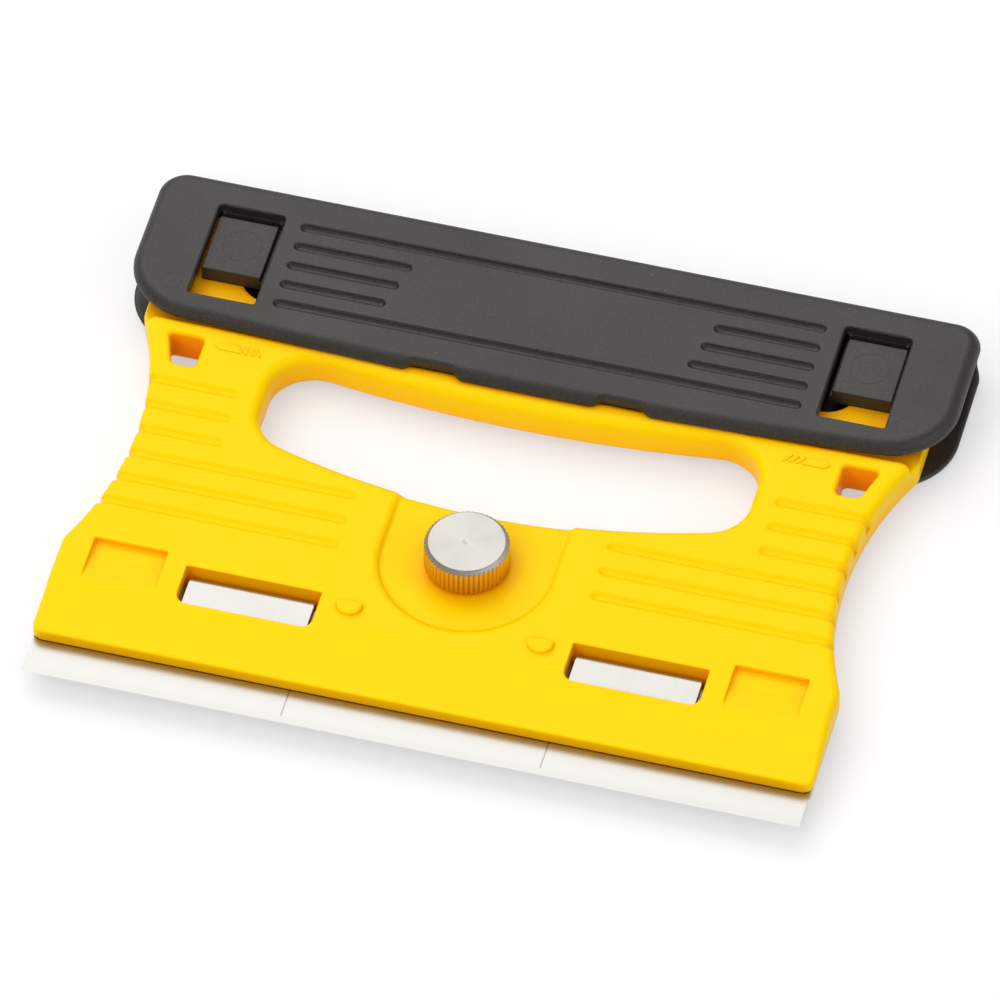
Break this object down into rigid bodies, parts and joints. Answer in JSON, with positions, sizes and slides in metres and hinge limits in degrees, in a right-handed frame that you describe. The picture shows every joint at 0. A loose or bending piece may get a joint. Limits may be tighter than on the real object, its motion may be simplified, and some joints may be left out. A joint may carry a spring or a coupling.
{
  "type": "razor scraper",
  "caption": "Wide hand scraper: a long clamped razor blade in a moulded body with a finger opening, a knurled thumb screw and a slide-on blade cover stowed over the handle.",
  "frame": {"origin": "under the middle of the part's box, as it lies on its back on the cover's rear face", "axes": "+X along the blade, +Y from the cutting edge towards the cover, +Z out of the front face, where the thumb screw's head is"},
  "size_m": [0.13, 0.0988, 0.0129],
  "materials": {
    "body_plastic": "satin moulded yellow",
    "blade_steel": "bright ground strip steel",
    "plate_steel": "plain stamped sheet",
    "bush_brass": "turned",
    "screw_plating": "nickel plated, turned and knurled",
    "cover_plastic": "fine moulded grain"
  },
  "bodies": {
    "body": {"handle_body": "body_plastic"},
    "screw": {"thumb_screw": "screw_plating"},
    "clamp": {"clamp_plate": "plate_steel", "threaded_bush": "bush_brass"},
    "razor": {"blade": "blade_steel"},
    "cover": {"blade_cover": "cover_plastic"},
    "left_tongue": {"left_grip_tongue": "cover_plastic"},
    "right_tongue": {"right_grip_tongue": "cover_plastic"}
  },
  "joints": [
    {"name": "screw_turn", "type": "hinge", "parent": "body", "child": "screw", "pos_m": [0, -0.01515, 0.008], "axis": [0, 0, 1], "range_deg": [0, 720]},
    {"name": "clamp_open", "type": "slide", "parent": "body", "child": "clamp", "axis": [0, 0, -1], "range_m": [0, 0.0016]},
    {"name": "blade_slide", "type": "slide", "parent": "body", "child": "razor", "axis": [0, -1, 0], "range_m": [0, 0.016]},
    {"name": "cover_slide", "type": "slide", "parent": "body", "child": "cover", "axis": [1, 0, 0], "range_m": [-0.128, 0.128]},
    {"name": "left_tongue_flex", "type": "hinge", "parent": "cover", "child": "left_tongue", "pos_m": [-0.0495, 0.0429, 0.0067], "axis": [-1, 0, 0], "range_deg": [0, 4], "stiffness_Nm_per_rad": 0.2},
    {"name": "right_tongue_flex", "type": "hinge", "parent": "cover", "child": "right_tongue", "pos_m": [0.0495, 0.0429, 0.0067], "axis": [-1, 0, 0], "range_deg": [0, 4], "stiffness_Nm_per_rad": 0.2}
  ],
  "couplings": [
    {"joint": "screw_turn", "follows": "clamp_open", "rad_per_m": 7853.9}
  ]
}
